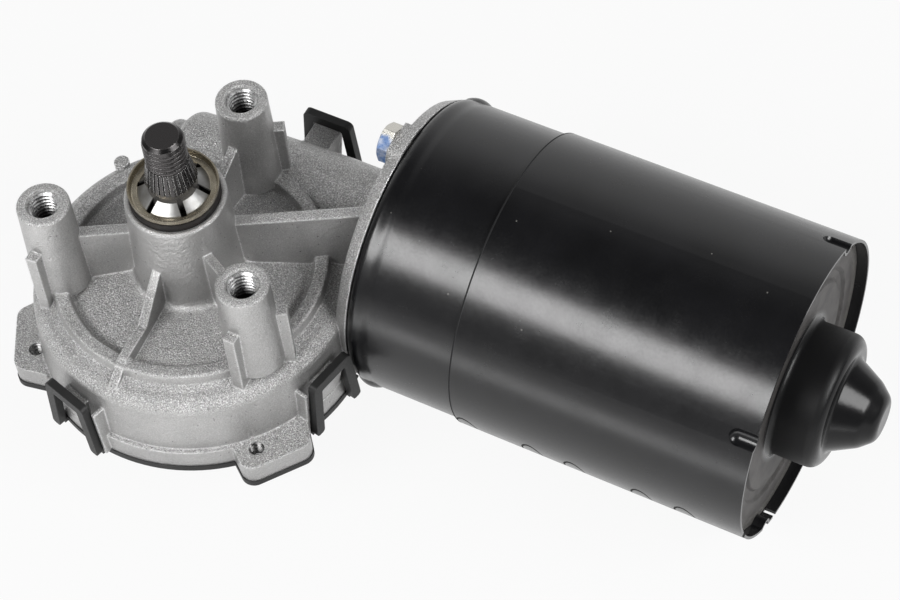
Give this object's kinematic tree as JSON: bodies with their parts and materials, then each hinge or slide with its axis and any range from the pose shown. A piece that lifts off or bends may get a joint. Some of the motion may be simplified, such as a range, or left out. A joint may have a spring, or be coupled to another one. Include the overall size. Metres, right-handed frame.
{
  "type": "wiper motor",
  "caption": "Wiper motor: a round permanent-magnet motor on a die-cast worm gearbox with tapped mounting posts and a serrated, threaded output shaft.",
  "frame": {"origin": "on the output shaft's axis, in the plane of the three mounting posts' tops", "axes": "+Z runs out along the output shaft, +X along the motor from the gearbox to its closed end, +Y from the output shaft towards the motor's axis"},
  "size_m": [0.2162, 0.124, 0.1037],
  "materials": {
    "cast_aluminium": "as cast, satin",
    "black_cover": "moulded, satin",
    "black_paint": "glossy black paint on steel",
    "dark_steel": "phosphated, ground at the journal",
    "zinc_steel": "zinc plated",
    "bright_steel": "ground",
    "rubber": "matt",
    "sintered_bronze": "sintered, matt",
    "wheel_plastic": "moulded",
    "plate_plastic": "pressed laminate",
    "contact_brass": "rolled",
    "copper": "enamelled wire and drawn bar",
    "iron_laminations": "stacked sheet",
    "ferrite": "sintered, matt",
    "carbon": "pressed"
  },
  "bodies": {
    "gearbox": {"gear_housing": "cast_aluminium", "housing_cover": "black_cover", "cover_gasket": "rubber", "switch_plate": "plate_plastic", "park_contacts": "contact_brass", "connector_pins": "contact_brass", "upper_bush": "sintered_bronze", "lower_bush": "sintered_bronze", "shaft_seal": "rubber", "thrust_washer": "bright_steel", "bearing_outer_race": "bright_steel", "tail_bush": "sintered_bronze", "thrust_ball": "bright_steel", "thrust_screw": "zinc_steel", "motor_tube": "black_paint", "flux_ring": "black_paint", "end_plate": "black_paint", "end_bush": "sintered_bronze", "bush_retainer": "zinc_steel", "thrust_pad": "wheel_plastic", "field_magnets": "ferrite", "magnet_clips": "zinc_steel", "brush_plate": "plate_plastic", "brushes": "carbon", "brush_holders": "contact_brass", "brush_springs": "bright_steel", "suppression_chokes": "ferrite", "tube_bolts": "zinc_steel"},
    "armature": {"armature_shaft": "bright_steel", "lamination_stack": "iron_laminations", "armature_windings": "copper", "commutator_core": "plate_plastic", "commutator_bars": "copper", "bearing_inner_race": "bright_steel"},
    "output": {"output_shaft": "dark_steel", "star_washer": "zinc_steel", "worm_wheel": "wheel_plastic", "wheel_insert": "bright_steel", "track_disc": "contact_brass"}
  },
  "joints": [
    {"name": "armature_spin", "type": "hinge", "parent": "gearbox", "child": "armature", "pos_m": [0, 0.038, -0.041], "axis": [1, 0, 0], "continuous": true},
    {"name": "output_spin", "type": "hinge", "parent": "gearbox", "child": "output", "pos_m": [0, 0, 0], "axis": [0, 0, 1], "continuous": true}
  ],
  "couplings": [
    {"joint": "output_spin", "follows": "armature_spin", "ratio": 0.018519}
  ]
}
